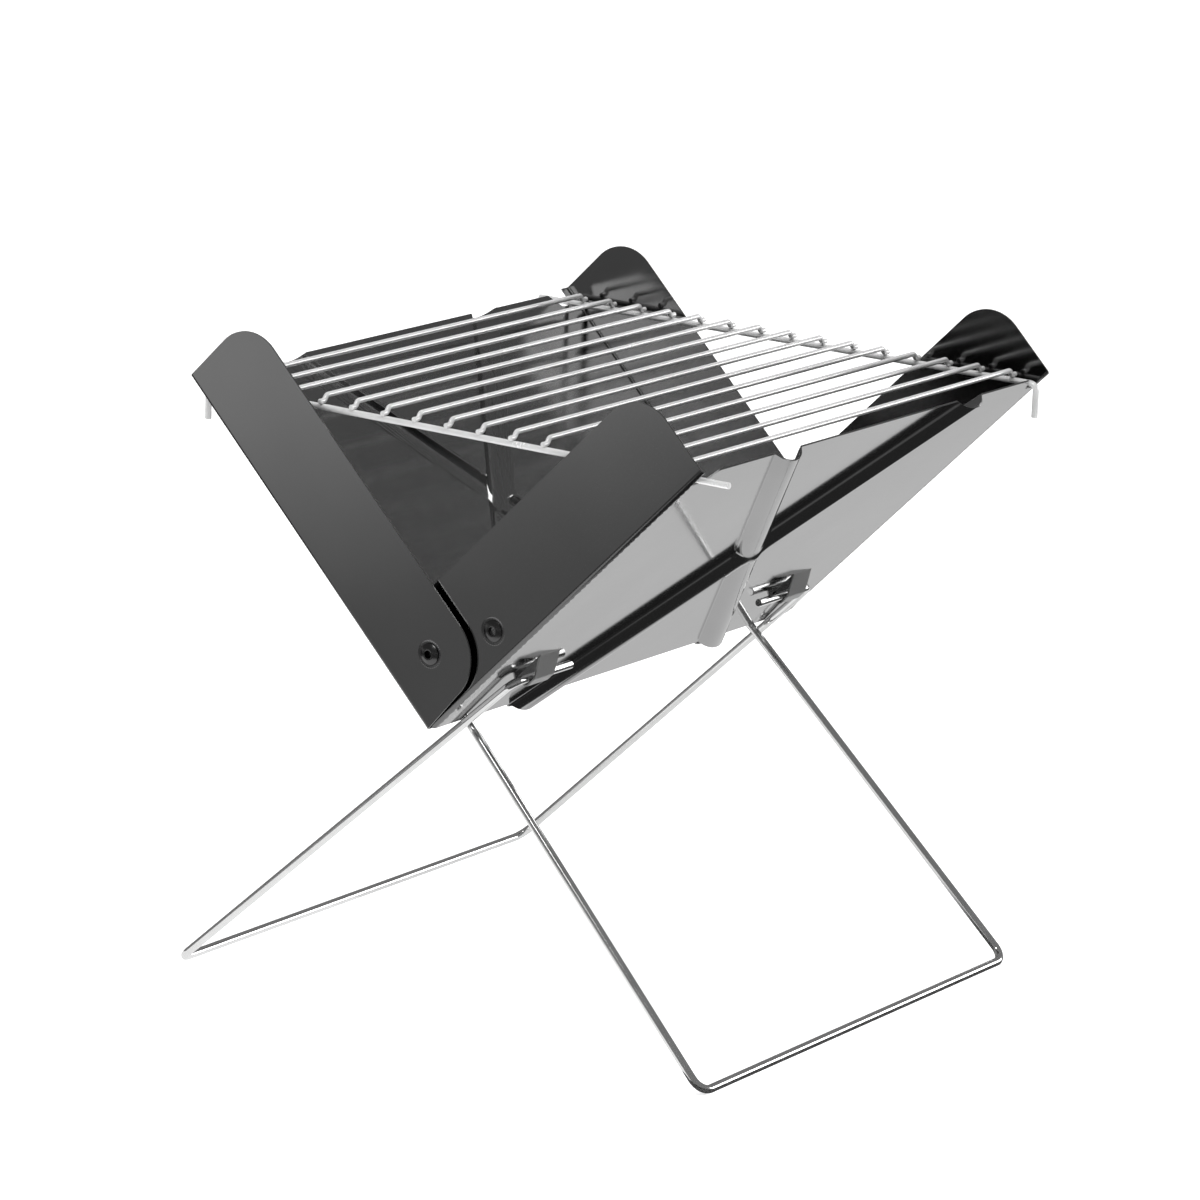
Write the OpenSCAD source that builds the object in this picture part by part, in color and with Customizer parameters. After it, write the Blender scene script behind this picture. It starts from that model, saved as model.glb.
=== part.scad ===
// Folding camp grill: two bent sheet trays that open to a V, two wire leg frames and a wire grate.
// X runs across the V, Y along its fold line, Z up. The origin is on the ground under the fold line.

/* [Trays] */
// Height of the V's bottom edge above the ground
fold_line_z = 146; // [140:0.5:152]
// Slant depth of each tray, from the bottom edge to the top of the flanges
tray_depth = 202; // [192:1:215]
// Drop of the panel's top edge below the top of the flanges
edge_drop = 2; // [1:0.5:4]
// Length of the inner tray along the fold line
inner_len = 289; // [286:1:296]
// Thickness of the tray sheet
sheet = 0.8; // [0.6:0.1:1]
// Width of the end flanges
flange_w = 48.8; // [48:0.2:50]
// Outer radius of the bend between panel and flange
bend_r = 2; // [1.6:0.1:2.4]
// Radius of the flange's upper inner corner
ear_r = 20.5; // [16:0.5:22]
// Gap between the two flanges that overlap at each end
flange_gap = 2.4; // [1.4:0.1:2.6]

/* [Pressed ribs] */
// Distance of a rib's ends from the middle of the tray
rib_end_y = 77; // [70:1:82]
// Width of a rib at the panel's face
rib_w = 16; // [14:0.5:18]
// Height of a rib above the panel's face
rib_h = 5.5; // [4.5:0.5:6]

/* [Slots for the grate] */
// Width of each slot, measured from the end of the inner tray
slot_w = 16; // [15:0.5:18]

/* [Rivets] */
// Distance of the pivot from both edges of the flange
pivot_in = 25.8; // [25.4:0.1:26.2]
// Diameter of the rivet heads
head_d = 10; // [9:0.5:11]
// Diameter of the rivet shanks
shank_d = 6; // [5:0.5:6.5]
// Diameter of the hole through each rivet
eyelet_d = 3.6; // [3:0.2:4]
// Distance of the guide rivet from the bottom edge
guide_s = 60.3; // [58:0.5:64]
// Distance of the guide rivet from the panel
guide_n = 14; // [13:0.5:16]

/* [Leg frames] */
// Diameter of the leg wire
leg_d = 4; // [3.6:0.2:4]
// Distance of the leg pins from the bottom edge, along the panel
pin_s = 35.5; // [34:0.5:37]
// Distance of the wide frame's pins from the panel's face
wide_pin_n = 3.45; // [3.4:0.05:3.6]
// Distance of the narrow frame's pins from the panel's face
narrow_pin_n = 2.75; // [2.7:0.05:2.9]
// Distance of the wide frame's foot from the middle plane
wide_foot_x = 152.5; // [152:0.5:153]
// Distance of the narrow frame's foot from the middle plane
narrow_foot_x = 144.5; // [144:0.5:145]
// Half width of the wide frame at its pins
wide_top_y = 121; // [121:0.5:123]
// Half width of the narrow frame at its pins
narrow_top_y = 113; // [113:0.5:115]
// Angle by which each side of a leg frame splays outward, in degrees
leg_splay = 3.75; // [3.75:0.25:4]
// Length of each leg pin, from the frame's side to its end
pin_len = 44; // [40:1:46]

/* [Grate] */
// Height of the cross wires above the V's bottom edge
grate_h = 138; // [137:0.5:138.5]
// Diameter of the cross wires
cross_d = 3; // [2.8:0.1:3.2]
// Diameter of the bars
bar_d = 2.5; // [2.2:0.1:2.8]
// Number of bars
bar_count = 15; // [9:2:15]
// Distance from bar to bar
bar_pitch = 18; // [17:0.1:18.2]
// Distance of each cross wire from the middle of the grate
cross_y = 138.5; // [138:0.1:139]
// Reach of a cross wire's straight end from the middle plane
cross_reach = 153; // [150:0.5:156]
// Distance of a cross wire's hook from the middle plane
hook_x = 139; // [138:0.5:142]
// Drop of the hook below the cross wire
hook_drop = 16; // [15:0.5:20]

/* [Hidden] */

half_angle = 45;
outer_len = inner_len + 2 * (sheet + flange_gap);
panel_start = 1.15 * sheet;
inner_bend_r = bend_r - sheet;
lobe_r = flange_w - pivot_in;
pivot_z = fold_line_z + pivot_in * sqrt(2);
rib_r = (rib_w * rib_w / 4 + rib_h * rib_h) / (2 * rib_h);
rib_center_n = rib_h - rib_r;
rib_angle = atan2(2 * rib_end_y, tray_depth);
slot_bottom_s = (grate_h - cross_d / 2) / cos(half_angle) - sheet - 0.03;
loop_w = 15;
loop_bend_inset = 18;
leg_r = leg_d / 2;
foot_bend_r = 7;
pin_bend_r = 5;
hook_bend_r = 3.2;
dip_bend_r = 2;
dip_turn = 60;
dip_tail = 3.4;
dip_rise = 2.4;
bar_end_y = cross_y + 1.8;
bar_low_z = (cross_d + bar_d) / 2 - 0.06;
steel_dark = [0.36, 0.36, 0.37];
steel_light = [0.72, 0.72, 0.73];
wire_bright = [0.85, 0.85, 0.87];
$fn = 48;

function bar_name(i) = str("bar_", i < 10 ? "0" : "", i);
function arc(cx, cy, r, from, to, steps = 10) =
    [for (k = [0:steps]) let (a = from + (to - from) * k / steps) [cx + r * cos(a), cy + r * sin(a)]];
function mirrored(points) = [for (k = [len(points) - 1:-1:0]) [-points[k][0], points[k][1]]];

// A round wire in the XY plane, starting at the origin along +X. Each leg is [length, turn, bend radius],
// where the turn is the bend's angle after the straight stretch, positive to the left.
module wire(legs, d, k = 0) {
    if (k < len(legs)) {
        length = legs[k][0];
        a = legs[k][1];
        bend = legs[k][2];
        rotate([0, 90, 0]) cylinder(d = d, h = length);
        if (a != 0) translate([length, 0, 0]) {
            mirror([0, a < 0 ? 1 : 0, 0]) translate([0, bend, 0]) rotate([0, 0, -90])
                rotate_extrude(angle = abs(a)) translate([bend, 0]) circle(d = d);
            translate([0, sign(a) * bend, 0]) rotate([0, 0, a]) translate([0, -sign(a) * bend, 0])
                wire(legs, d, k + 1);
        }
    }
}

// Length that a bend takes away from each of the two straight stretches it joins.
function setback(a, bend) = bend * tan(abs(a) / 2);

// ---- Trays: drawn with the panel's outer face at x = 0, the fold line along Y and the slant along Z.

// Cross section of a tray: a shallow channel with bent corners.
module channel(length) {
    edge = length / 2;
    c = edge - bend_r;
    outer_side = concat(arc(c, -bend_r, bend_r, 90, 0, 6), [[edge, -flange_w]]);
    inner_side = concat([[edge - sheet, -flange_w]], arc(c, -bend_r, inner_bend_r, 0, 90, 6));
    half = concat(outer_side, inner_side);
    polygon(concat(half, mirrored(half)));
}

// Outline of a flange seen along the fold line: an ear at the top and a round lobe about the pivot.
module flange_outline() {
    polygon(concat(
        [[bend_r, panel_start], [0, panel_start]],
        arc(-pivot_in, pivot_in, lobe_r, 270, 180, 12),
        arc(ear_r - flange_w, tray_depth - ear_r, ear_r, 180, 90, 12),
        [[bend_r, tray_depth]]));
}

module rib(side, d) {
    rotate([side * rib_angle, 0, 0]) translate([rib_center_n, 0, -1.5 * tray_depth / 2])
        cylinder(d = d, h = 1.5 * tray_depth, $fn = 64);
}

module ribs(d) {
    translate([0, 0, tray_depth / 2]) {
        rib(1, d);
        rib(-1, d);
    }
}

// Bridge loop lanced from the panel: a bent strip that holds a leg pin.
module loop_strip(pin_n) {
    top = pin_n + leg_r + 0.2;
    rotate([90, 0, 0]) linear_extrude(loop_w, center = true) polygon([
        [-sheet, pin_s + 16], [0, pin_s + 16], [0, pin_s + 14.2],
        [top + sheet, pin_s + 3.4], [top + sheet, pin_s - 2.6], [0, pin_s - 6.2],
        [0, pin_s - 8], [-sheet, pin_s - 8],
        [-sheet, pin_s - 5.6], [top, pin_s - 2.2], [top, pin_s + 3], [-sheet, pin_s + 13.6]]);
}

module loop_window() {
    translate([-2 * sheet, -loop_w / 2 - 1, pin_s - 6.2]) cube([4 * sheet, loop_w + 2, 20.4]);
}

module grate_slot(edge) {
    rotate([90, 0, 90]) linear_extrude(4 * bend_r, center = true) polygon([
        [edge - slot_w + 5, slot_bottom_s], [edge - bend_r - 0.5, slot_bottom_s],
        [edge - bend_r - 0.5, tray_depth + 1], [edge - slot_w - 0.1, tray_depth + 1],
        [edge - slot_w - 0.1, tray_depth - edge_drop]]);
}

// Cuts the panel's top edge, ribs included, below the top of the flanges.
module edge_cut(edge) {
    translate([-2 * sheet, slot_w - edge, tray_depth - edge_drop])
        cube([rib_h + 3 * sheet, 2 * (edge - slot_w), edge_drop + 1]);
}

module flange_bore(length, s, n, d) {
    translate([-n, 0, s]) rotate([90, 0, 0]) cylinder(d = d, h = length + 2, center = true);
}

module tray(length, loop_y, pin_n, pivot_d) {
    difference() {
        union() {
            intersection() {
                linear_extrude(tray_depth) rotate([0, 0, 90]) mirror([0, 1, 0]) channel(length);
                rotate([90, 0, 0]) linear_extrude(length + 2, center = true) flange_outline();
            }
            intersection() {
                ribs(2 * rib_r);
                translate([-sheet / 2, -length / 2, panel_start])
                    cube([rib_h + sheet, length, tray_depth - panel_start]);
            }
        }
        ribs(2 * (rib_r - sheet));
        edge_cut(inner_len / 2);
        for (side = [-1, 1]) {
            translate([0, side * loop_y, 0]) loop_window();
            mirror([0, side < 0 ? 1 : 0, 0]) grate_slot(inner_len / 2);
        }
        flange_bore(length, pivot_in, pivot_in, pivot_d);
        if (length == inner_len)
            flange_bore(length, guide_s, guide_n, shank_d);
    }
    for (side = [-1, 1])
        translate([0, side * loop_y, 0]) loop_strip(pin_n);
}

module on_right() {
    translate([0, 0, fold_line_z]) rotate([0, half_angle, 0]) children();
}

module on_left() {
    mirror([1, 0, 0]) on_right() children();
}

module inner_tray() {
    color(steel_light) on_right() tray(inner_len, wide_top_y - loop_bend_inset, wide_pin_n, shank_d);
}

module outer_tray() {
    color(steel_light) on_left()
        tray(outer_len, narrow_top_y - loop_bend_inset, narrow_pin_n, shank_d + 0.3);
}

// ---- Rivets: drawn at the near end, pointing along -Y from y = 0.

module at_end(y, far) {
    mirror([0, far ? 1 : 0, 0]) translate([0, -y, 0]) rotate([90, 0, 0]) children();
}

// Tubular rivet that grips from z = 0 up to the given height, with a domed head at each end.
module rivet(grip, rise) {
    r = head_d / 2;
    rotate_extrude() polygon([
        [eyelet_d / 2, -rise], [r - 1.2, -rise], [r, -rise / 3], [r, 0], [shank_d / 2, 0],
        [shank_d / 2, grip], [r, grip], [r, grip + rise / 3], [r - 1.2, grip + rise],
        [eyelet_d / 2, grip + rise]]);
}

module pivot_rivet(far) {
    grip = 2 * sheet + flange_gap + 0.1;
    color(steel_dark) translate([0, 0, pivot_z]) at_end(inner_len / 2 - sheet, far) rivet(grip, 1.4);
}

module pivot_washer(far) {
    color(steel_dark) translate([0, 0, pivot_z]) at_end(inner_len / 2, far)
        difference() {
            cylinder(d = 13, h = flange_gap - 0.1);
            translate([0, 0, -1]) cylinder(d = shank_d, h = flange_gap + 2);
        }
}

module guide_rivet(far) {
    color(steel_dark) on_right() translate([-guide_n, 0, guide_s])
        at_end(inner_len / 2 - sheet, far) rivet(sheet, 0.9);
}

module pivot_rivet_near() { pivot_rivet(false); }
module pivot_rivet_far() { pivot_rivet(true); }
module pivot_washer_near() { pivot_washer(false); }
module pivot_washer_far() { pivot_washer(true); }
module guide_rivet_near() { guide_rivet(false); }
module guide_rivet_far() { guide_rivet(true); }

// ---- Leg frames: a splayed U of wire whose ends turn inward as hinge pins.

// Frame on the right tray, whose foot stands at -foot_x.
module leg_frame(pin_n, top_y, foot_x) {
    pin_x = (pin_s + pin_n) * sin(half_angle);
    pin_z = fold_line_z + (pin_s - pin_n) * cos(half_angle);
    reach = norm([pin_x + foot_x, pin_z - leg_r]);
    lean = atan2(pin_z - leg_r, -pin_x - foot_x);
    color(wire_bright) translate([pin_x, 0, pin_z]) rotate([0, lean, 0]) leg_wire(reach, top_y);
}

// The wire runs from the far pin's end round the foot to the near pin's end, with the pins on the Y axis.
module leg_wire(reach, top_y) {
    foot_y = top_y + reach * tan(leg_splay);
    top_turn = 90 - leg_splay;
    foot_turn = 90 + leg_splay;
    top_cut = setback(top_turn, pin_bend_r);
    foot_cut = setback(foot_turn, foot_bend_r);
    side = reach / cos(leg_splay) - top_cut - foot_cut;
    translate([0, top_y - pin_len, 0]) rotate([0, 0, 90]) wire([
        [pin_len - top_cut, -top_turn, pin_bend_r],
        [side, -foot_turn, foot_bend_r],
        [2 * (foot_y - foot_cut), -foot_turn, foot_bend_r],
        [side, -top_turn, pin_bend_r],
        [pin_len - top_cut, 0, 0]], leg_d);
}

module wide_leg_frame() {
    leg_frame(wide_pin_n, wide_top_y, wide_foot_x);
}

module narrow_leg_frame() {
    mirror([1, 0, 0]) leg_frame(narrow_pin_n, narrow_top_y, narrow_foot_x);
}

// ---- Grate: two cross wires that rest in the slots, and bars with stepped-down ends.

// The near cross wire is straight at its right end and hooked at its left end.
module cross_wire_near() {
    color(wire_bright) translate([cross_reach, -cross_y, fold_line_z + grate_h]) rotate([-90, 0, 180])
        wire([[cross_reach + hook_x - hook_bend_r, 90, hook_bend_r], [hook_drop - hook_bend_r, 0, 0]],
             cross_d);
}

module cross_wire_far() {
    rotate([0, 0, 180]) cross_wire_near();
}

// A bar dips at each end to rest on the cross wire, and stands a step higher in between.
module bar(i) {
    x = (i - (bar_count + 1) / 2) * bar_pitch;
    cut = setback(dip_turn, dip_bend_r);
    slope = dip_rise / sin(dip_turn);
    middle = 2 * (bar_end_y - dip_tail - slope * cos(dip_turn));
    color(wire_bright) translate([x, -bar_end_y, fold_line_z + grate_h + bar_low_z]) rotate([90, 0, 90])
        wire([[dip_tail - cut, dip_turn, dip_bend_r], [slope - 2 * cut, -dip_turn, dip_bend_r],
              [middle - 2 * cut, -dip_turn, dip_bend_r], [slope - 2 * cut, dip_turn, dip_bend_r],
              [dip_tail - cut, 0, 0]], bar_d);
}

inner_tray();
outer_tray();
wide_leg_frame();
narrow_leg_frame();
pivot_rivet_near();
pivot_rivet_far();
pivot_washer_near();
pivot_washer_far();
guide_rivet_near();
guide_rivet_far();
cross_wire_near();
cross_wire_far();
for (i = [1:bar_count]) bar(i);
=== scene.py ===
import math

import bpy
import numpy as np
from mathutils import Matrix, Vector
from mathutils.geometry import delaunay_2d_cdt


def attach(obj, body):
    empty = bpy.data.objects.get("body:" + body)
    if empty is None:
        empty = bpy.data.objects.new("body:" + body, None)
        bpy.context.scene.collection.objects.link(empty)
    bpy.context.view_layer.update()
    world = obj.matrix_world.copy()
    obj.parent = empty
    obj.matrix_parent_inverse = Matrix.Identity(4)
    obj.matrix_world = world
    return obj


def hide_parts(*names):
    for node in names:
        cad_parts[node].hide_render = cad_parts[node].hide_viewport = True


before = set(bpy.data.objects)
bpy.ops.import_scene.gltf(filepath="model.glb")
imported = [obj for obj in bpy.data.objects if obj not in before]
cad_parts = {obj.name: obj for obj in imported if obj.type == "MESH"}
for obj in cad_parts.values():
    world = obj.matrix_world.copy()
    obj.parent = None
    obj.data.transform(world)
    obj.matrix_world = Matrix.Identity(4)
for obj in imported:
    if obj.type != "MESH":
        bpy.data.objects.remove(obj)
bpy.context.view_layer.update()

# Lengths are in millimetres and agree with the CAD source. s runs up a tray's slant from the fold
# line, and y along the fold line.
MM = 0.001
X_AXIS, Y_AXIS = np.array([1.0, 0.0, 0.0]), np.array([0.0, 1.0, 0.0])
TILT = math.sqrt(0.5)                       # sine and cosine of the trays' 45 degrees
FOLD_Z = 146.0                              # height of the V's bottom edge

# trays
DEPTH = 202.0                               # s of the flanges' top edge
START, TOP = 0.92, 200.0                    # s of the panel's own bottom and top edges
INNER_LEN, OUTER_LEN = 289.0, 295.4
SHEET = 0.8
BEND_R = 2.0                                # outer radius of the bends into the flanges
FLANGE_W, EAR_R = 48.8, 20.5
PIVOT_IN = 25.8                             # pivot axis, in from the panel and up from the fold line
LOBE_R = FLANGE_W - PIVOT_IN
GUIDE_N, GUIDE_S = 14.0, 60.3               # guide rivet, in from the panel and up the slant
BORE_R = 3.1                                # rivet holes in the flanges
DIMPLE_D = 0.18                             # depth of the flat recess round each rivet
RIB_H, RIB_W, RIB_END = 5.5, 16.0, 77.0     # height, width and y at both ends of a rib
RIB_R = (RIB_W ** 2 / 4 + RIB_H ** 2) / (2 * RIB_H)

# leg pins, and the loops that hold them
PIN_S = 35.5
WIDE_PIN_N, NARROW_PIN_N = 3.45, 2.75       # how far the pins' axes stand off the panels
WIDE_LOOP_Y, NARROW_LOOP_Y = 103.0, 95.0
LOOP_HALF_W, LOOP_HALF_T = 7.5, 0.38        # a little thinner than the sheet, so no faces coincide
WINDOW_HALF, WINDOW_DOWN, WINDOW_UP, WINDOW_R = 8.5, 6.2, 14.2, 1.6

# leg frames, with the splay in degrees
LEG_R, PIN_LEN, LEG_SPLAY = 2.0, 44.0, 3.75
PIN_BEND_R, FOOT_BEND_R = 5.0, 7.0

# grate, with the turn of the bars' dips in degrees
GRATE_H = 138.0                             # the cross wires' axes above the fold line
GRATE_Z = FOLD_Z + GRATE_H
CROSS_R, CROSS_Y, CROSS_REACH = 1.5, 138.5, 153.0
HOOK_X, HOOK_DROP, HOOK_BEND_R = 139.0, 16.0, 3.2
BAR_R, BAR_PITCH, BAR_COUNT = 1.25, 18.0, 15
BAR_SINK = 0.06                             # how far the bars sink into the cross wires
DIP_RISE, DIP_TURN, DIP_BEND_R, DIP_TAIL = 2.4, 60.0, 2.0, 3.4
SLOT_W = 16.0                               # slot for the grate in each top corner of a panel
SLOT_S = (GRATE_H - CROSS_R) / TILT - SHEET - 0.03

# rivets
HEAD_R, EYELET_R, SHANK_R = 5.0, 1.8, 3.0


# ---------------------------------------------------------------- camera

def make_camera():
    """Stands the camera at the photograph's angle and distance, in metres and radians."""
    azimuth, elevation, roll, distance = 0.6166, 0.251, 0.03497, 2.601
    target = Vector((-0.0083, -0.0045, 0.1792))
    back = Vector((math.cos(elevation) * math.sin(azimuth),
                   -math.cos(elevation) * math.cos(azimuth), math.sin(elevation)))
    right = (-back).cross(Vector((0, 0, 1))).normalized()
    up = right.cross(-back)
    right, up = (math.cos(roll) * right + math.sin(roll) * up,
                 -math.sin(roll) * right + math.cos(roll) * up)
    data = bpy.data.cameras.new("camera")
    data.sensor_width = 36.0
    data.lens = 165.06
    data.clip_end = 50.0
    camera = bpy.data.objects.new("camera", data)
    matrix = Matrix((right, up, back)).transposed().to_4x4()
    matrix.translation = target + distance * back
    camera.matrix_world = matrix
    bpy.context.scene.collection.objects.link(camera)
    bpy.context.scene.camera = camera


make_camera()


# ---------------------------------------------------------------- materials

class Nodes:
    """Short calls for building one material's node tree."""

    def __init__(self, name):
        self.material = bpy.data.materials.new(name)
        self.material.use_nodes = True
        self.tree = self.material.node_tree
        self.shader = self.tree.nodes["Principled BSDF"]
        self.coords = self.add("ShaderNodeTexCoord").outputs["Object"]

    def add(self, kind, **values):
        node = self.tree.nodes.new(kind)
        for key, value in values.items():
            setattr(node, key, value)
        return node

    def link(self, a, b):
        self.tree.links.new(a, b)

    def noise(self, scale, stretch=(1, 1, 1), turn=(0, 0, 0), detail=4.0, rough=0.55):
        mapping = self.add("ShaderNodeMapping")
        mapping.inputs["Scale"].default_value = stretch
        mapping.inputs["Rotation"].default_value = turn
        self.link(self.coords, mapping.inputs["Vector"])
        noise = self.add("ShaderNodeTexNoise")
        noise.inputs["Scale"].default_value = scale
        noise.inputs["Detail"].default_value = detail
        noise.inputs["Roughness"].default_value = rough
        self.link(mapping.outputs["Vector"], noise.inputs["Vector"])
        return noise.outputs["Fac"]

    def ramp(self, value, low, high, at=(0.3, 0.7)):
        node = self.add("ShaderNodeMapRange")
        node.inputs["From Min"].default_value = at[0]
        node.inputs["From Max"].default_value = at[1]
        node.inputs["To Min"].default_value = low
        node.inputs["To Max"].default_value = high
        self.link(value, node.inputs["Value"])
        return node.outputs["Result"]

    def math(self, operation, a, b):
        node = self.add("ShaderNodeMath", operation=operation)
        for socket, value in zip(node.inputs, (a, b)):
            if isinstance(value, (int, float)):
                socket.default_value = value
            else:
                self.link(value, socket)
        return node.outputs["Value"]

    def grey(self, value):
        node = self.add("ShaderNodeCombineColor")
        for socket in node.inputs:
            self.link(value, socket)
        return node.outputs["Color"]

    def bump(self, height, strength, distance):
        node = self.add("ShaderNodeBump")
        node.inputs["Strength"].default_value = strength
        node.inputs["Distance"].default_value = distance
        self.link(height, node.inputs["Height"])
        self.link(node.outputs["Normal"], self.shader.inputs["Normal"])

    def set(self, name, value):
        if isinstance(value, (int, float, tuple)):
            self.shader.inputs[name].default_value = value
        else:
            self.link(value, self.shader.inputs[name])


def sheet_steel(name, shade, rough, scratch=0.0, metal=1.0):
    """Cold-rolled stainless sheet: fine grain along the fold, faint clouding, a few hairline scuffs."""
    m = Nodes(name)
    cloud = m.noise(9.0, detail=3.0)
    grain = m.noise(260.0, stretch=(9, 0.6, 9), detail=5.0, rough=0.7)
    tone = m.math("MULTIPLY", m.ramp(cloud, 0.93, 1.05), m.ramp(grain, 0.96, 1.04))
    roughness = m.math("MULTIPLY", m.ramp(cloud, 0.88, 1.14), m.ramp(grain, 0.85 * rough, 1.15 * rough))
    if scratch:
        swirl = m.noise(24.0, stretch=(1, 3.5, 1), turn=(0.4, 0.2, 0.9), detail=4.0, rough=0.6)
        scuff = m.ramp(swirl, 0.0, scratch, at=(0.52, 0.72))
        roughness = m.math("ADD", roughness, scuff)
        tone = m.math("ADD", tone, m.math("MULTIPLY", scuff, 0.7))
    m.set("Base Color", m.grey(m.math("MULTIPLY", tone, shade)))
    m.set("Roughness", roughness)
    m.set("Metallic", metal)
    m.bump(grain, 0.05, 0.00003)
    return m.material


def drawn_wire(name, shade, rough, metal):
    """Bright drawn wire: faint lengthwise lines, small dull patches."""
    m = Nodes(name)
    patch = m.noise(60.0, detail=4.0)
    line = m.noise(500.0, stretch=(2, 0.15, 2), detail=3.0)
    m.set("Base Color", m.grey(m.math("MULTIPLY", m.ramp(patch, 0.94, 1.04), shade)))
    m.set("Roughness", m.math("MULTIPLY", m.ramp(patch, 0.7, 1.5), m.ramp(line, 0.8 * rough, 1.2 * rough)))
    m.set("Metallic", metal)
    m.bump(line, 0.08, 0.00004)
    return m.material


OUTSIDE = sheet_steel("steel_outside", 0.46, 0.09)
# Dark copy of the sheet steel for the bends, the rivets' recesses and the loops' inner faces: its darkness
# is painted shade.
PAINTED_SHADE = sheet_steel("steel_painted_shade", 0.20, 0.22)
INSIDE = sheet_steel("steel_inside", 0.39, 0.16, scratch=0.06)
# Near-black copy of the sheet steel for the flanges' inner faces: painted shade.
FLANGE_IN_SHADE = sheet_steel("steel_flange_inside_painted_shade", 0.13, 0.13, scratch=0.04)
# Greyer, duller copy of the sheet steel for the loops' outer faces: painted light, set against the painted
# shade of their inner faces.
PAINTED_LIGHT_TAB = sheet_steel("steel_tab_painted_light", 0.30, 0.38, metal=0.6)
EDGE = sheet_steel("steel_cut_edge", 0.34, 0.30)
# Very dark copy of the sheet steel for the rivets and washers: painted shade in the eyelets and on the
# heads.
RIVET_SHADE = sheet_steel("steel_rivet_painted_shade", 0.11, 0.22)
LEG = drawn_wire("wire_leg", 0.92, 0.08, 0.95)
GRATE = drawn_wire("wire_grate", 0.96, 0.18, 0.3)


# ---------------------------------------------------------------- mesh building

class Shape:
    """Collects faces with their own corner normals and material, in the shared frame in millimetres."""

    def __init__(self):
        self.points, self.faces, self.normals, self.slots = [], [], [], []

    def add(self, points, faces, normals, slot=0):
        """Adds faces with a normal for each corner, without the points that no face uses."""
        base = sum(len(p) for p in self.points)
        used = sorted({int(i) for face in faces for i in face})
        place = {i: base + k for k, i in enumerate(used)}
        self.points.append(np.asarray(points, float)[used])
        for face, corner in zip(faces, normals):
            self.faces.append([place[int(i)] for i in face])
            self.normals.extend(corner)
            self.slots.append(slot)

    def flat(self, points, faces, slot=0):
        """Adds faces that are each shaded flat."""
        p = np.asarray(points, float)
        normals = []
        for f in faces:
            n = sum(np.cross(p[f[i]] - p[f[0]], p[f[i + 1]] - p[f[0]]) for i in range(1, len(f) - 1))
            n = n / max(np.linalg.norm(n), 1e-12)
            normals.append([n] * len(f))
        self.add(p, faces, normals, slot)

    def build(self, name, materials, body, replaced, slot):
        """Makes the piece on its body, in place of the CAD nodes that replaced names."""
        mesh = bpy.data.meshes.new(name)
        points = np.concatenate(self.points) * MM
        mesh.from_pydata(points.tolist(), [], self.faces)
        for material in materials:
            mesh.materials.append(material)
        mesh.polygons.foreach_set("material_index", self.slots)
        mesh.polygons.foreach_set("use_smooth", [True] * len(self.faces))
        mesh.normals_split_custom_set([tuple(n) for n in self.normals])
        piece = bpy.data.objects.new(name, mesh)
        bpy.context.scene.collection.objects.link(piece)
        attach(piece, body)
        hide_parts(*replaced)


def unit(v):
    """The same directions at length 1."""
    return v / np.maximum(np.linalg.norm(v, axis=-1, keepdims=True), 1e-12)


def sweep(shape, path, ring, up, cap):
    """Runs a closed ring (n x 2) along a planar path whose plane has the normal up.

    Both ends are closed with a chamfer that takes the share cap of the ring's radius."""
    path = np.asarray(path, float)
    along = unit(np.gradient(path, axis=0))
    side = unit(np.cross(up, along))
    lift = np.cross(along, side)
    count, n = len(path), len(ring)
    radial = side[:, None, :] * ring[None, :, :1] + lift[:, None, :] * ring[None, :, 1:]
    points = path[:, None, :] + radial
    normals = unit(radial)
    faces, corners = [], []
    for i in range(count - 1):
        for j in range(n):
            k = (j + 1) % n
            faces.append([i * n + j, i * n + k, (i + 1) * n + k, (i + 1) * n + j])
            corners.append([normals[i, j], normals[i, k], normals[i + 1, k], normals[i + 1, j]])
    shape.add(points.reshape(-1, 3), faces, corners)
    for end, sign in ((0, -1), (count - 1, 1)):
        outer = points[end]
        inner = path[end] + radial[end] * (1 - cap) + along[end] * sign * cap * np.linalg.norm(ring[0])
        loop = list(range(n))
        ramp = [[j, (j + 1) % n, n + (j + 1) % n, n + j][::sign] for j in loop]
        shape.flat(np.concatenate([outer, inner]), ramp)
        shape.flat(inner, [loop[::sign]])


def circle(radius, n=24):
    """Ring of n points for sweep."""
    a = np.arange(n) * 2 * math.pi / n
    return np.stack([radius * np.cos(a), radius * np.sin(a)], axis=1)


def wire_path(legs, step=7.0):
    """Centre line in a plane, from the origin along +X: straight stretches joined by bends.

    Each leg is (length, turn in degrees, bend radius), and step is the angle between points on a bend."""
    at, heading = np.zeros(2), 0.0
    points = [at.copy()]
    for length, turn, radius in legs:
        at = at + length * np.array([math.cos(heading), math.sin(heading)])
        points.append(at.copy())
        if turn:
            sign = 1 if turn > 0 else -1
            centre = at + sign * radius * np.array([-math.sin(heading), math.cos(heading)])
            count = max(3, round(abs(turn) / step))
            for k in range(1, count + 1):
                a = heading + math.radians(turn) * k / count
                points.append(centre + sign * radius * np.array([math.sin(a), -math.cos(a)]))
            heading += math.radians(turn)
            at = points[-1].copy()
    return np.array(points)


def setback(turn, radius):
    """Length that a bend takes from the straight on each side of its corner."""
    return radius * math.tan(math.radians(abs(turn)) / 2)


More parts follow.
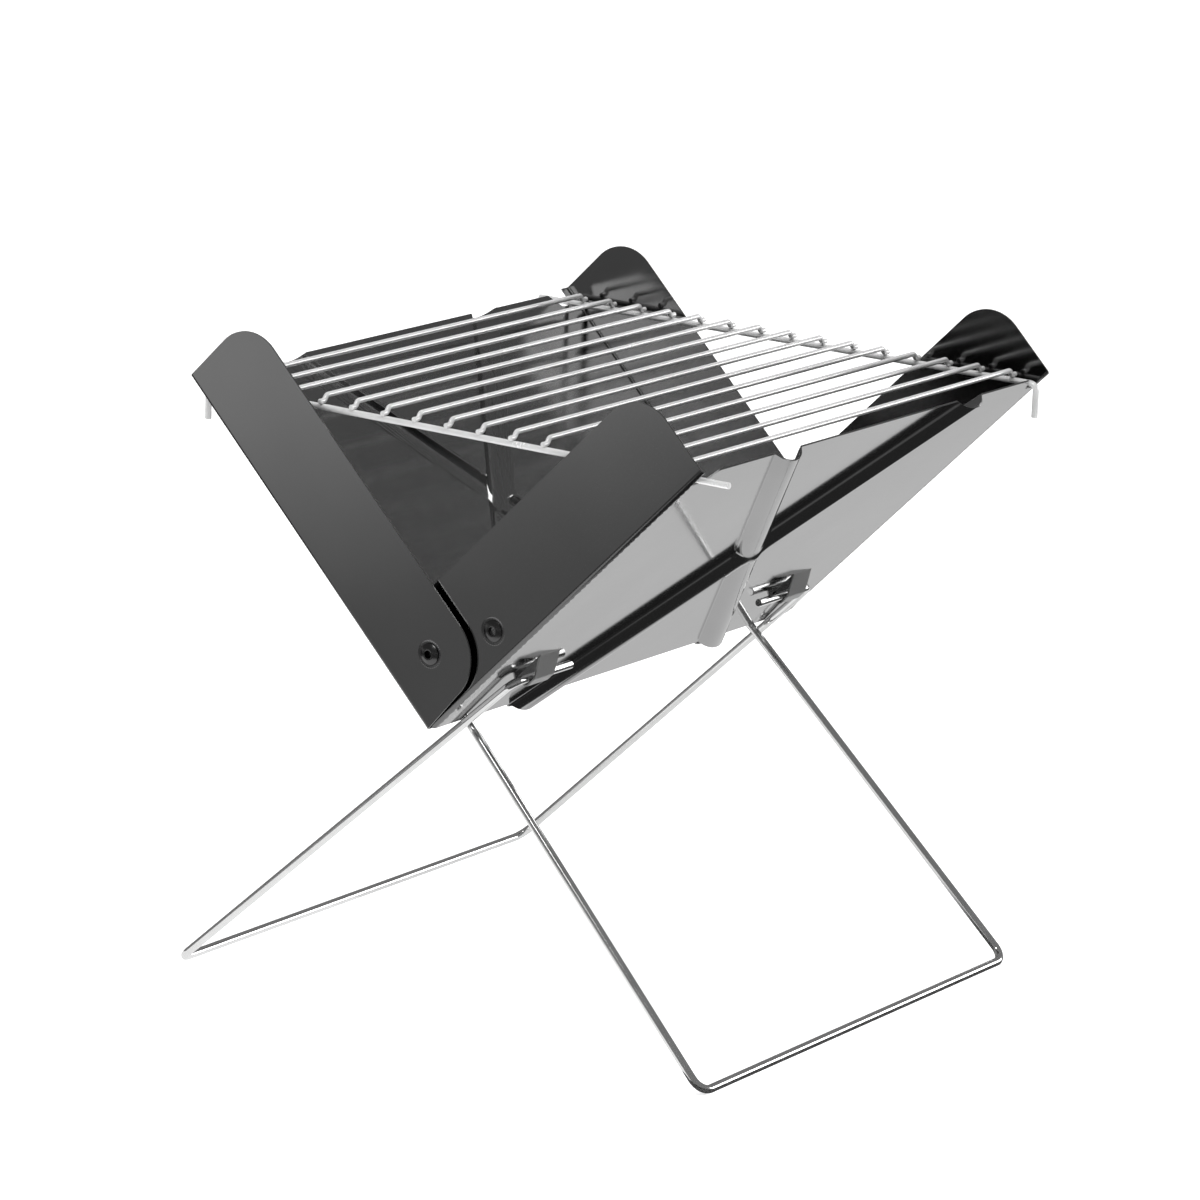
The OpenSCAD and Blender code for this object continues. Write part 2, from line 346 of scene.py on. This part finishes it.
def lathe(shape, profile, centre, axis, n=40, crease=0.8):
    """Turns a profile of (radius, height) points about an axis through centre.

    Neighbouring stretches shade smoothly where the cosine between them is over crease."""
    profile = np.asarray(profile, float)
    axis = np.asarray(axis, float)
    side = unit(np.cross(axis, [0.3, 0.1, 0.9]))
    other = np.cross(axis, side)
    a = np.arange(n) * 2 * math.pi / n
    out = np.cos(a)[:, None] * side + np.sin(a)[:, None] * other
    edges = np.diff(profile, axis=0)
    flat = unit(np.stack([edges[:, 1], -edges[:, 0]], axis=1))
    for i in range(len(edges)):
        ends = []
        for at, near in ((i, i - 1), (i + 1, i + 1)):
            normal = flat[i]
            if 0 <= near < len(flat) and flat[i] @ flat[near] > crease:
                normal = unit(flat[i] + flat[near])
            ends.append((profile[at], normal))
        points, normals = [], []
        for (r, h), (nr, nh) in ends:
            points.append(centre + out * r + axis * h)
            normals.append(out * nr + axis * nh)
        p = np.concatenate(points)
        v = np.concatenate(normals)
        faces = [[j, (j + 1) % n, n + (j + 1) % n, n + j] for j in range(n)]
        shape.add(p, faces, [[v[q] for q in f] for f in faces])


# ---------------------------------------------------------------- trays

RIB_TURN = math.atan2(2 * RIB_END, DEPTH)
RIB_KNEE = 7.4        # from here out a rib's flank is straight
RIB_ZONE = 11.0       # the fine points of a rib reach about this far from its middle
KNOB_H, KNOB_SPREAD = 1.0, 18.0           # raised middle of the X
BEND_STEPS = 6
RIM_GAP = 0.45        # inner points keep this far from every cut edge
SINK_IN, SINK_OUT = 5.6, 6.6              # radii between which a rivet's recess slopes
# Slots of the tray's materials; the fourth and sixth hold painted shade, the fifth painted light.
PLATE, INNER, CUT, PAINTED_SHADE_ZONE, LOOP_PAINTED_LIGHT, FLANGE_INNER_SHADE = range(6)
TRAY_MATERIALS = [OUTSIDE, INSIDE, EDGE, PAINTED_SHADE, PAINTED_LIGHT_TAB, FLANGE_IN_SHADE]


def smooth_max(a, b, k):
    """The larger of two heights, with a fillet of about k where they cross."""
    h = np.maximum(k - np.abs(a - b), 0) / k
    return np.maximum(a, b) + h * h * k / 4


def rib_profile(d):
    """Height of a pressed rib at distance d from its middle: a round top on steep flanks."""
    d = np.abs(d)
    top = np.sqrt(np.maximum(RIB_R ** 2 - np.minimum(d, RIB_KNEE) ** 2, 0)) + RIB_H - RIB_R
    slope = RIB_KNEE / math.sqrt(RIB_R ** 2 - RIB_KNEE ** 2)
    return top - np.maximum(d - RIB_KNEE, 0) * slope


def panel_height(y, s):
    """How far the X of ribs stands out of the panel, with a small knob where they cross."""
    v = s - DEPTH / 2
    c, k = math.cos(RIB_TURN), math.sin(RIB_TURN)
    one = rib_profile(y * c - v * k)
    two = rib_profile(y * c + v * k)
    knob = KNOB_H * np.exp(-(y ** 2 + v ** 2) / KNOB_SPREAD)
    return smooth_max(smooth_max(one, two, 1.2), 0, 0.6) + knob


class Tray:
    """One bent tray. Its sheet is laid out flat in (u, s): u along the fold line and on round
    both bends into the flanges, s up the slant. flat is where the bends begin, turn is a bend's
    own width, and columns are the values of u across it."""

    def __init__(self, length, side, loop_y, pin_n, dimples):
        self.flat = length / 2 - BEND_R
        self.turn = BEND_R * math.pi / 2
        self.columns = self.flat + self.turn * np.arange(BEND_STEPS + 1) / BEND_STEPS
        self.side, self.loop_y, self.pin_n, self.dimples = side, loop_y, pin_n, dimples

    def local(self, u, s):
        """Outer face in the tray's own axes: x out of the panel, y along the fold, s up the slant."""
        sign = np.sign(u)
        over = np.abs(u) - self.flat
        angle = np.clip(over / BEND_R, 0, math.pi / 2)
        beyond = np.maximum(over - self.turn, 0)
        x = -BEND_R * (1 - np.cos(angle)) - beyond
        y = np.minimum(np.abs(u), self.flat) + BEND_R * np.sin(angle)
        on_panel = np.abs(u) < self.flat - 2
        x = x + np.where(on_panel, panel_height(u, s), 0)
        for n, at in self.dimples:
            r = np.hypot(-x - n, s - at)
            rise = np.clip((r - SINK_IN) / (SINK_OUT - SINK_IN), 0, 1)
            sink = DIMPLE_D * (1 - rise ** 2 * (3 - 2 * rise))
            y = y - np.where(beyond > 0, sink, 0)
        return np.stack([x, sign * y, s], axis=-1)

    def turned(self, v):
        """Direction in the shared frame, from one in the tray's own axes."""
        x, y, s = v[..., 0], v[..., 1], v[..., 2]
        return np.stack([self.side * (s + x) * TILT, y, (s - x) * TILT], axis=-1)

    def to_frame(self, p):
        """Place in the shared frame, from one in the tray's own axes."""
        return self.turned(p) + np.array([0.0, 0.0, FOLD_Z])

    def surface(self, u, s):
        """Outer face points and outward normals in the tray's own axes."""
        e = 0.02              # step of the differences that give the slopes
        p = self.local(u, s)
        du = self.local(u + e, s) - self.local(u - e, s)
        ds = self.local(u, s + e) - self.local(u, s - e)
        return p, unit(np.cross(du, ds))

    def u_of(self, x):
        """u of a point on a flange, from its x in the tray's own axes."""
        return self.flat + self.turn + (-x - BEND_R)

    def outline(self):
        """Edge of the flat layout, anticlockwise."""
        def arc(cx, cy, r, a, b, n):
            t = np.radians(np.linspace(a, b, n + 1))
            return [(self.u_of(cx + r * math.cos(q)), cy + r * math.sin(q)) for q in t]

        def run(a, b, step):
            n = max(1, round(math.dist(a, b) / step))
            return [(a[0] + (b[0] - a[0]) * i / n, a[1] + (b[1] - a[1]) * i / n) for i in range(n)]

        edge = INNER_LEN / 2          # both trays have the slot where the narrower one's flange is
        left, right, deep = edge - SLOT_W - 0.1, edge - BEND_R - 0.5, SLOT_S
        # lower edge, then round the flange: the lobe at the pivot and the ear at the top
        half = [(0.0, START)]
        half += run((0.0, START), (self.flat, START), 1.0)[1:]
        half += [(u, START) for u in self.columns]
        half += arc(-PIVOT_IN, PIVOT_IN, LOBE_R, 270, 180, 40)
        half += arc(EAR_R - FLANGE_W, DEPTH - EAR_R, EAR_R, 180, 90, 40)
        half += run((self.u_of(EAR_R - FLANGE_W), DEPTH), (self.flat + self.turn, DEPTH), 3.0)[1:]
        half += [(u, DEPTH) for u in self.columns[::-1]]
        # down into the slot, along its floor, and up to the panel's top edge
        half += [(right, DEPTH), (right, deep + 0.8), (right - 0.25, deep + 0.25), (right - 0.8, deep),
                 (left + 6.2, deep), (left + 5.2, deep + 0.3), (left + 4.5, deep + 1.1)]
        half += [(left + 0.6, TOP - 0.9), (left, TOP - 0.2), (left - 0.7, TOP)]
        half += run((left - 0.7, TOP), (0.0, TOP), 1.0)[1:]
        mirrored = [(-u, s) for u, s in half[::-1]]
        return half + mirrored[:-1]

    def window(self, sign):
        """Opening that the lanced loop leaves in the panel, with rounded corners."""
        y0, y1, s0, s1 = (self.loop_y - WINDOW_HALF, self.loop_y + WINDOW_HALF,
                          PIN_S - WINDOW_DOWN, PIN_S + WINDOW_UP)
        r = WINDOW_R
        points = []
        for cx, cy, a in ((y1 - r, s0 + r, -90), (y1 - r, s1 - r, 0),
                          (y0 + r, s1 - r, 90), (y0 + r, s0 + r, 180)):
            for k in range(6):
                t = math.radians(a + 18 * k)
                points.append((sign * (cx + r * math.cos(t)), cy + r * math.sin(t)))
        return points

    def bore(self, n, s, sign):
        """Round hole for a rivet in a flange."""
        t = np.arange(28) * 2 * math.pi / 28
        return [(sign * self.u_of(-n + BORE_R * math.cos(q)), s + BORE_R * math.sin(q)) for q in t]

    def grid(self):
        """Inner points of the flat layout: dense on the ribs, bends and recesses, coarse elsewhere."""
        c, k = math.cos(RIB_TURN), math.sin(RIB_TURN)
        coarse = np.stack(np.meshgrid(np.arange(-self.flat + 1.4, self.flat, 3.0),
                                      np.arange(START + 2, TOP, 3.0)), -1).reshape(-1, 2)
        near = np.arange(-26, 26.1, 0.8)
        cross = np.stack(np.meshgrid(near, near + DEPTH / 2), -1).reshape(-1, 2)
        # rows along a rib, closest together where its flank meets the panel
        half = np.array([0.0, 1.6, 3.1, 4.4, 5.5, 6.3, 6.9, 7.3, 7.6, 7.85, 8.1, 8.4, 9.0, 10.2])
        rows = np.concatenate([-half[:0:-1], half])
        w, t = (a.ravel() for a in np.meshgrid(rows, np.arange(-160, 160, 2.0)))

        def offsets(p):
            v = p[:, 1] - DEPTH / 2
            return abs(p[:, 0] * c - v * k), abs(p[:, 0] * c + v * k)

        def within(p):
            return p[(p[:, 1] > START + 0.7) & (p[:, 1] < TOP - 0.5) & (abs(p[:, 0]) < self.flat - 3)]

        one, two = offsets(coarse)
        sets = [coarse[np.minimum(one, two) > RIB_ZONE + 0.2]]
        one, two = offsets(cross)
        sets.append(cross[np.maximum(one, two) < RIB_ZONE])
        for sign in (-1, 1):
            along = within(np.stack([w * c + sign * t * k, t * c - sign * w * k + DEPTH / 2], -1))
            to_other_rib = offsets(along)[1 if sign > 0 else 0]
            sets.append(along[to_other_rib > RIB_ZONE - 0.4])
        for sign in (-1, 1):
            bend = np.stack(np.meshgrid(sign * self.columns,
                                        np.arange(START + 3, DEPTH - 1, 4.0)), -1).reshape(-1, 2)
            plain = np.stack(np.meshgrid(sign * np.arange(self.flat + self.turn + 4, self.flat + 48, 8.0),
                                         np.arange(START + 4, DEPTH, 8.0)), -1).reshape(-1, 2)
            # rings round each rivet, closest together where its recess slopes
            for n, s in self.dimples:
                plain = plain[np.hypot(abs(plain[:, 0]) - self.u_of(-n), plain[:, 1] - s) > 9]
                for r in (4.0, 5.0, 5.6, 5.85, 6.1, 6.35, 6.6, 7.2, 9.0):
                    t = np.arange(36) * 2 * math.pi / 36 + r
                    sets.append(np.stack([sign * (self.u_of(-n) + r * np.cos(t)), s + r * np.sin(t)], -1))
            sets += [bend, plain]
        return np.concatenate(sets)

    def add_sheet(self, shape):
        """Meshes the flat layout and bends it into both faces of the sheet, joined at every cut edge.

        The bends and the rivets' recesses get a dark material, which is painted shade, and the flanges'
        inner faces a near-black one, also painted shade."""
        loops = [self.outline()]
        for sign in (-1, 1):
            loops.append(self.window(sign))
            for n, s in self.dimples:
                loops.append(self.bore(n, s, sign))
        edges, border = [], []
        for loop in loops:
            base = len(border)
            border += loop
            edges += [(base + i, base + (i + 1) % len(loop)) for i in range(len(loop))]
        rim = np.array(border)
        extra = self.grid()
        gap = np.array([np.min(np.hypot(*(rim - p).T)) for p in extra])
        extra = extra[gap > RIM_GAP]
        layout = [Vector(p) for p in np.concatenate([rim, extra])]
        verts, _, faces, _, _, _ = delaunay_2d_cdt(layout, edges, [], 0, 1e-5)
        flat = np.array([tuple(v) for v in verts])
        faces = np.array([f if orient(flat, f) > 0 else f[::-1] for f in faces])
        middle = flat[faces].mean(axis=1)
        keep = inside(middle, loops[0])
        for hole in loops[1:]:
            keep &= ~inside(middle, hole)
        faces = faces[keep]
        p, n = self.surface(flat[:, 0], flat[:, 1])
        outer, inner = self.to_frame(p), self.to_frame(p - SHEET * n)
        normal = self.turned(n)
        order = faces if self.side > 0 else faces[:, ::-1]
        centre = flat[order].mean(axis=1)
        # Faces of the bends and of the rivets' recesses take the dark material: painted shade in the
        # creases and hollows.
        bent = np.abs(np.abs(centre[:, 0]) - self.flat - self.turn / 2) < self.turn / 2 + 0.7
        for n_in, at in self.dimples:
            bent |= np.hypot(np.abs(centre[:, 0]) - self.u_of(-n_in), centre[:, 1] - at) < SINK_OUT
        for part, slot in ((order[~bent], PLATE), (order[bent], PAINTED_SHADE_ZONE)):
            shape.add(outer, part.tolist(), [[normal[i] for i in f] for f in part], slot)
        # The flanges' inner faces take a near-black material: painted shade.
        flange = np.abs(centre[:, 0]) > self.flat + self.turn / 2
        for part, slot in ((order[~flange], INNER), (order[flange], FLANGE_INNER_SHADE)):
            shape.add(inner, part[:, ::-1].tolist(), [[-normal[i] for i in f[::-1]] for f in part], slot)
        sides = {(int(f[k]), int(f[(k + 1) % 3])): None for f in order for k in range(3)}
        for a, b in sides:
            if (b, a) not in sides:
                shape.flat([outer[b], outer[a], inner[a], inner[b]], [[0, 1, 2, 3]], CUT)

    def add_loop(self, shape, sign):
        """Bridge lanced out of the panel, under which a leg pin turns."""
        top = self.pin_n + LEG_R + 0.2 + SHEET / 2
        mid = -SHEET / 2
        # up from the panel, over the pin and back down
        corners = [(mid, PIN_S + 14.7), (mid, PIN_S + 14.0), (top, PIN_S + 3.2), (top, PIN_S - 2.5),
                   (mid, PIN_S - 6.0), (mid, PIN_S - 7.2)]
        path = rounded(np.array(corners), 1.6)
        local = np.stack([path[:, 0], np.full(len(path), sign * self.loop_y), path[:, 1]], -1)
        w, h = LOOP_HALF_W, LOOP_HALF_T
        ring = np.array([[-w, -h], [w, -h], [w, h], [-w, h]])
        points = self.to_frame(local)
        up = np.cross(unit(np.gradient(points, axis=0)), Y_AXIS)
        strip(shape, points, Y_AXIS, up, ring, self.turned(X_AXIS))


def orient(points, f):
    """Positive where a flat triangle runs anticlockwise."""
    a, b, c = points[f[0]], points[f[1]], points[f[2]]
    return (b[0] - a[0]) * (c[1] - a[1]) - (b[1] - a[1]) * (c[0] - a[0])


def inside(points, loop):
    """Which points lie inside a closed loop."""
    result = np.zeros(len(points), bool)
    x, y = points[:, 0], points[:, 1]
    for (x0, y0), (x1, y1) in zip(loop, loop[1:] + loop[:1]):
        if y0 == y1:
            continue
        crosses = (y0 > y) != (y1 > y)
        result ^= crosses & (x < (x1 - x0) * (y - y0) / (y1 - y0) + x0)
    return result


def rounded(corners, radius):
    """Fillets the inner corners of an open path."""
    points = [corners[0]]
    for before, at, after in zip(corners, corners[1:], corners[2:]):
        a, b = unit(before - at), unit(after - at)
        turn = math.acos(np.clip(-a @ b, -1, 1))
        cut = radius * math.tan(turn / 2)
        for t in np.linspace(0, 1, 6):
            points.append((1 - t) ** 2 * (at + a * cut) + 2 * t * (1 - t) * at + t * t * (at + b * cut))
    return np.array(points + [corners[-1]])


def strip(shape, path, across, up, ring, out):
    """Sweeps a flat bar along a path, smooth on its broad faces and sharp at its edges.

    The broad face on the side of out gets a greyer, duller material, which is painted light, and the other
    the dark material of painted shade."""
    rows = [path + across * w + up * h for w, h in ring]
    n = len(path)
    level = np.tile(across, (n, 1))
    for k, normal in enumerate((-up, level, up, -level)):
        points = np.concatenate([rows[k], rows[(k + 1) % 4]])
        faces = [[i, i + 1, n + i + 1, n + i] for i in range(n - 1)]
        first = points[faces[0]]
        facing = np.cross(first[1] - first[0], first[3] - first[0]) @ normal[0]
        if facing < 0:
            faces = [f[::-1] for f in faces]
        corners = [[normal[q % n] for q in f] for f in faces]
        slot = CUT
        # The outer broad face takes the painted-light material and the inner one the painted shade.
        if k in (0, 2):
            slot = LOOP_PAINTED_LIGHT if normal[0] @ out > 0 else PAINTED_SHADE_ZONE
        shape.add(points, faces, corners, slot)


def build_tray(name, length, side, loop_y, pin_n, dimples, body):
    """A tray and its two loops. side is 1 for the tray that rises towards +X, and -1 for the other."""
    tray = Tray(length, side, loop_y, pin_n, dimples)
    shape = Shape()
    tray.add_sheet(shape)
    for sign in (-1, 1):
        tray.add_loop(shape, sign)
    shape.build(name, TRAY_MATERIALS, body, [body], "tray_steel")


PIVOT, GUIDE = (PIVOT_IN, PIVOT_IN), (GUIDE_N, GUIDE_S)
build_tray("inner_tray_sheet", INNER_LEN, 1, WIDE_LOOP_Y, WIDE_PIN_N, [PIVOT, GUIDE], "inner_tray")
build_tray("outer_tray_sheet", OUTER_LEN, -1, NARROW_LOOP_Y, NARROW_PIN_N, [PIVOT], "outer_tray")


# ---------------------------------------------------------------- leg frames

def leg_frame(name, side, pin_n, top_y, foot_x, body):
    """One bent wire: two pins at the top, splayed sides and a straight foot."""
    pin_x, pin_z = (PIN_S + pin_n) * TILT, FOLD_Z + (PIN_S - pin_n) * TILT
    reach = math.hypot(pin_x + foot_x, pin_z - LEG_R)
    top_turn, foot_turn = 90 - LEG_SPLAY, 90 + LEG_SPLAY
    foot_y = top_y + reach * math.tan(math.radians(LEG_SPLAY))
    top_cut, foot_cut = setback(top_turn, PIN_BEND_R), setback(foot_turn, FOOT_BEND_R)
    run = reach / math.cos(math.radians(LEG_SPLAY)) - top_cut - foot_cut
    flat = wire_path([(PIN_LEN - top_cut, -top_turn, PIN_BEND_R), (run, -foot_turn, FOOT_BEND_R),
                      (2 * (foot_y - foot_cut), -foot_turn, FOOT_BEND_R), (run, -top_turn, PIN_BEND_R),
                      (PIN_LEN - top_cut, 0, 0)], 5.0)
    along = flat[:, 0] + top_y - PIN_LEN
    out = -flat[:, 1]
    down = np.array([-(pin_x + foot_x), -(pin_z - LEG_R)]) / reach
    x = side * (pin_x + out * down[0])
    z = pin_z + out * down[1]
    path = np.stack([x, along, z], -1)
    normal = np.cross([side * down[0], 0, down[1]], Y_AXIS)
    shape = Shape()
    sweep(shape, path, circle(LEG_R, 28), normal, 0.18)
    shape.build(name, [LEG], body, [name.replace("_wire", "")], "leg_wire")


leg_frame("wide_leg_frame_wire", 1, WIDE_PIN_N, top_y=121.0, foot_x=152.5, body="wide_leg")
leg_frame("narrow_leg_frame_wire", -1, NARROW_PIN_N, top_y=113.0, foot_x=144.5, body="narrow_leg")


# ---------------------------------------------------------------- grate

def cross_wire(name, end):
    """Wire across the tray ends, straight at one end and hooked down at the other."""
    flat = wire_path([(CROSS_REACH + HOOK_X - HOOK_BEND_R, -90, HOOK_BEND_R),
                      (HOOK_DROP - HOOK_BEND_R, 0, 0)])
    x = end * (flat[:, 0] - CROSS_REACH)
    path = np.stack([x, np.full(len(flat), end * CROSS_Y), GRATE_Z + flat[:, 1]], -1)
    shape = Shape()
    sweep(shape, path, circle(CROSS_R), Y_AXIS, 0.2)
    shape.build(name + "_drawn", [GRATE], "grate", [name], "grate_wire")


def grate_bar(i):
    """Bar i, raised between the cross wires and dipped onto them at both ends."""
    x = (i - (BAR_COUNT + 1) / 2) * BAR_PITCH
    end_y = CROSS_Y + 1.8
    cut = setback(DIP_TURN, DIP_BEND_R)
    slope = DIP_RISE / math.sin(math.radians(DIP_TURN))
    middle = 2 * (end_y - DIP_TAIL - slope * math.cos(math.radians(DIP_TURN)))
    flat = wire_path([(DIP_TAIL - cut, DIP_TURN, DIP_BEND_R), (slope - 2 * cut, -DIP_TURN, DIP_BEND_R),
                      (middle - 2 * cut, -DIP_TURN, DIP_BEND_R), (slope - 2 * cut, DIP_TURN, DIP_BEND_R),
                      (DIP_TAIL - cut, 0, 0)], 12.0)
    low = GRATE_Z + CROSS_R + BAR_R - BAR_SINK
    path = np.stack([np.full(len(flat), x), flat[:, 0] - end_y, low + flat[:, 1]], -1)
    name = "bar_%02d" % i
    shape = Shape()
    sweep(shape, path, circle(BAR_R), X_AXIS, 0.3)
    shape.build(name + "_drawn", [GRATE], "grate", [name], "grate_wire")


cross_wire("cross_wire_near", -1)
cross_wire("cross_wire_far", 1)
for number in range(1, BAR_COUNT + 1):
    grate_bar(number)


# ---------------------------------------------------------------- rivets

def rivet(name, n, s, end, grip, rise):
    """Tubular rivet through a flange of the inner tray, with rolled heads round an open eyelet."""
    rolled = [(EYELET_R, -rise + 0.5), (EYELET_R + 0.15, -rise + 0.15), (EYELET_R + 0.5, -rise),
              (EYELET_R + 1.0, -rise + 0.05), (HEAD_R - 1.3, -rise * 0.62), (HEAD_R - 0.35, -rise * 0.34),
              (HEAD_R, -rise * 0.12), (HEAD_R, 0)]
    outer = [(r, grip - h) for r, h in rolled[::-1]]
    profile = rolled + [(SHANK_R, 0), (SHANK_R, grip)] + outer + [rolled[0]]
    inner_face = INNER_LEN / 2 - SHEET
    centre = np.array([(s - n) * TILT, end * inner_face, FOLD_Z + (s + n) * TILT])
    shape = Shape()
    lathe(shape, profile, centre, end * Y_AXIS)
    # The rivet's very dark material is painted shade.
    shape.build(name + "_head", [RIVET_SHADE], "inner_tray", [name], "rivet_steel")


for label, end in (("near", -1), ("far", 1)):
    rivet("pivot_rivet_" + label, *PIVOT, end, grip=4.1, rise=1.4)
    rivet("guide_rivet_" + label, *GUIDE, end, grip=SHEET, rise=0.9)
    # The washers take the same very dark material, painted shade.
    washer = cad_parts["pivot_washer_" + label]
    washer.data.materials.clear()
    washer.data.materials.append(RIVET_SHADE)


# ---------------------------------------------------------------- studio

FLOOR_REACH = 12.0    # metres, as all of the studio
CARD_Z = 0.0003       # just clear of the floor


def stage_material(name, build):
    """Material for the studio, whose nodes build sets up."""
    m = bpy.data.materials.new(name)
    m.use_nodes = True
    build(m.node_tree)
    return m


def floor_nodes(tree):
    """Pale, faintly glossy floor that glows a little, so that it reads near white."""
    shader = tree.nodes["Principled BSDF"]
    shader.inputs["Base Color"].default_value = (0.93, 0.93, 0.93, 1)
    shader.inputs["Roughness"].default_value = 0.16
    shader.inputs["Specular IOR Level"].default_value = 0.35
    shader.inputs["Emission Color"].default_value = (1, 1, 1, 1)
    shader.inputs["Emission Strength"].default_value = 0.72


def plane(name, corners, material):
    """One flat face of the studio."""
    mesh = bpy.data.meshes.new(name)
    mesh.from_pydata([tuple(c) for c in corners], [], [(0, 1, 2, 3)])
    mesh.materials.append(material)
    obj = bpy.data.objects.new(name, mesh)
    bpy.context.scene.collection.objects.link(obj)
    return obj


def card(name, corners, low, high, along=(1, 0, 0), span=(-1, 1)):
    """Board that only reflections see, with a level that runs from low to high along an axis."""
    def nodes(tree):
        tree.nodes.clear()
        coords = tree.nodes.new("ShaderNodeTexCoord")
        dot = tree.nodes.new("ShaderNodeVectorMath")
        dot.operation = "DOT_PRODUCT"
        dot.inputs[1].default_value = along
        ramp = tree.nodes.new("ShaderNodeMapRange")
        ramp.interpolation_type = "SMOOTHSTEP"
        for key, value in zip(("From Min", "From Max", "To Min", "To Max"), (*span, low, high)):
            ramp.inputs[key].default_value = value
        light = tree.nodes.new("ShaderNodeEmission")
        side = tree.nodes.new("ShaderNodeNewGeometry")
        clear = tree.nodes.new("ShaderNodeBsdfTransparent")
        mix = tree.nodes.new("ShaderNodeMixShader")
        out = tree.nodes.new("ShaderNodeOutputMaterial")
        tree.links.new(coords.outputs["Object"], dot.inputs[0])
        tree.links.new(dot.outputs["Value"], ramp.inputs["Value"])
        tree.links.new(ramp.outputs["Result"], light.inputs["Strength"])
        tree.links.new(side.outputs["Backfacing"], mix.inputs["Fac"])
        tree.links.new(light.outputs["Emission"], mix.inputs[1])
        tree.links.new(clear.outputs["BSDF"], mix.inputs[2])
        tree.links.new(mix.outputs["Shader"], out.inputs["Surface"])
    obj = plane(name, corners, stage_material(name, nodes))
    obj.visible_camera = False
    obj.visible_diffuse = False
    obj.visible_shadow = False


def softbox(name, position, aim, size, power):
    """Rectangular area light that the camera doesn't see."""
    data = bpy.data.lights.new(name, "AREA")
    data.shape = "RECTANGLE"
    data.size, data.size_y = size
    data.energy = power
    light = bpy.data.objects.new(name, data)
    light.location = position
    light.rotation_euler = (Vector(aim) - Vector(position)).to_track_quat("-Z", "Y").to_euler()
    light.visible_camera = False
    bpy.context.scene.collection.objects.link(light)
    return light


def world_light():
    """White behind the object for the camera, dim grey for everything else."""
    world = bpy.data.worlds.new("studio")
    world.use_nodes = True
    tree = world.node_tree
    background = tree.nodes["Background"]
    paths = tree.nodes.new("ShaderNodeLightPath")
    level = tree.nodes.new("ShaderNodeMapRange")
    level.inputs["To Min"].default_value = 0.14
    level.inputs["To Max"].default_value = 1.0
    tree.links.new(paths.outputs["Is Camera Ray"], level.inputs["Value"])
    tree.links.new(level.outputs["Result"], background.inputs["Strength"])
    background.inputs["Color"].default_value = (1, 1, 1, 1)
    bpy.context.scene.world = world


def floor_card(name, x, y, low, high, along=(1, 0, 0), span=(-1, 1)):
    """Card that lies on the floor between the given x and y."""
    corners = [(x[0], y[0], CARD_Z), (x[1], y[0], CARD_Z), (x[1], y[1], CARD_Z), (x[0], y[1], CARD_Z)]
    card(name, corners, low, high, along, span)


FLOOR_CORNERS = [(x * FLOOR_REACH, y * FLOOR_REACH, 0) for x, y in ((-1, -1), (1, -1), (1, 1), (-1, 1))]
plane("floor", FLOOR_CORNERS, stage_material("floor_pale", floor_nodes))
world_light()
floor_card("front_card", (-4, 4), (-5, -0.42), 0.35, 0.12, span=(-1.0, -0.42))
floor_card("near_card", (-0.4, 0.12), (-0.42, 0.0), 0.85, 0.85)
floor_card("near_left_card", (-4, -0.4), (-0.42, 0.0), 0.06, 0.06)
floor_card("right_card", (0.12, 4), (-0.42, 0.5), 0.03, 0.03)
floor_card("back_right_card", (0.12, 4), (0.5, 3), 0.03, 0.22, span=(0.2, 0.5))
floor_card("back_card", (-0.2, 0.12), (0.0, 3), 0.71, 0.02, span=(0.05, 0.12))
floor_card("left_card", (-4, -0.2), (0.0, 0.5), 0.06, 0.06)
floor_card("back_left_card", (-4, -0.2), (0.5, 3), 0.06, 0.22, along=(-1, 0, 0), span=(0.25, 0.55))
softbox("top_box", (0.0, 0.3, 3.2), (0, 0.3, 0), (5.0, 5.0), 138).visible_glossy = False
softbox("key_box", (0.25, -2.3, 2.35), (0, 0, 0.2), (1.0, 0.9), 14)
softbox("back_box", (1.9, 2.6, 0.85), (0, 0, 0.3), (1.5, 1.3), 22)

bpy.context.scene.view_settings.view_transform = "Standard"
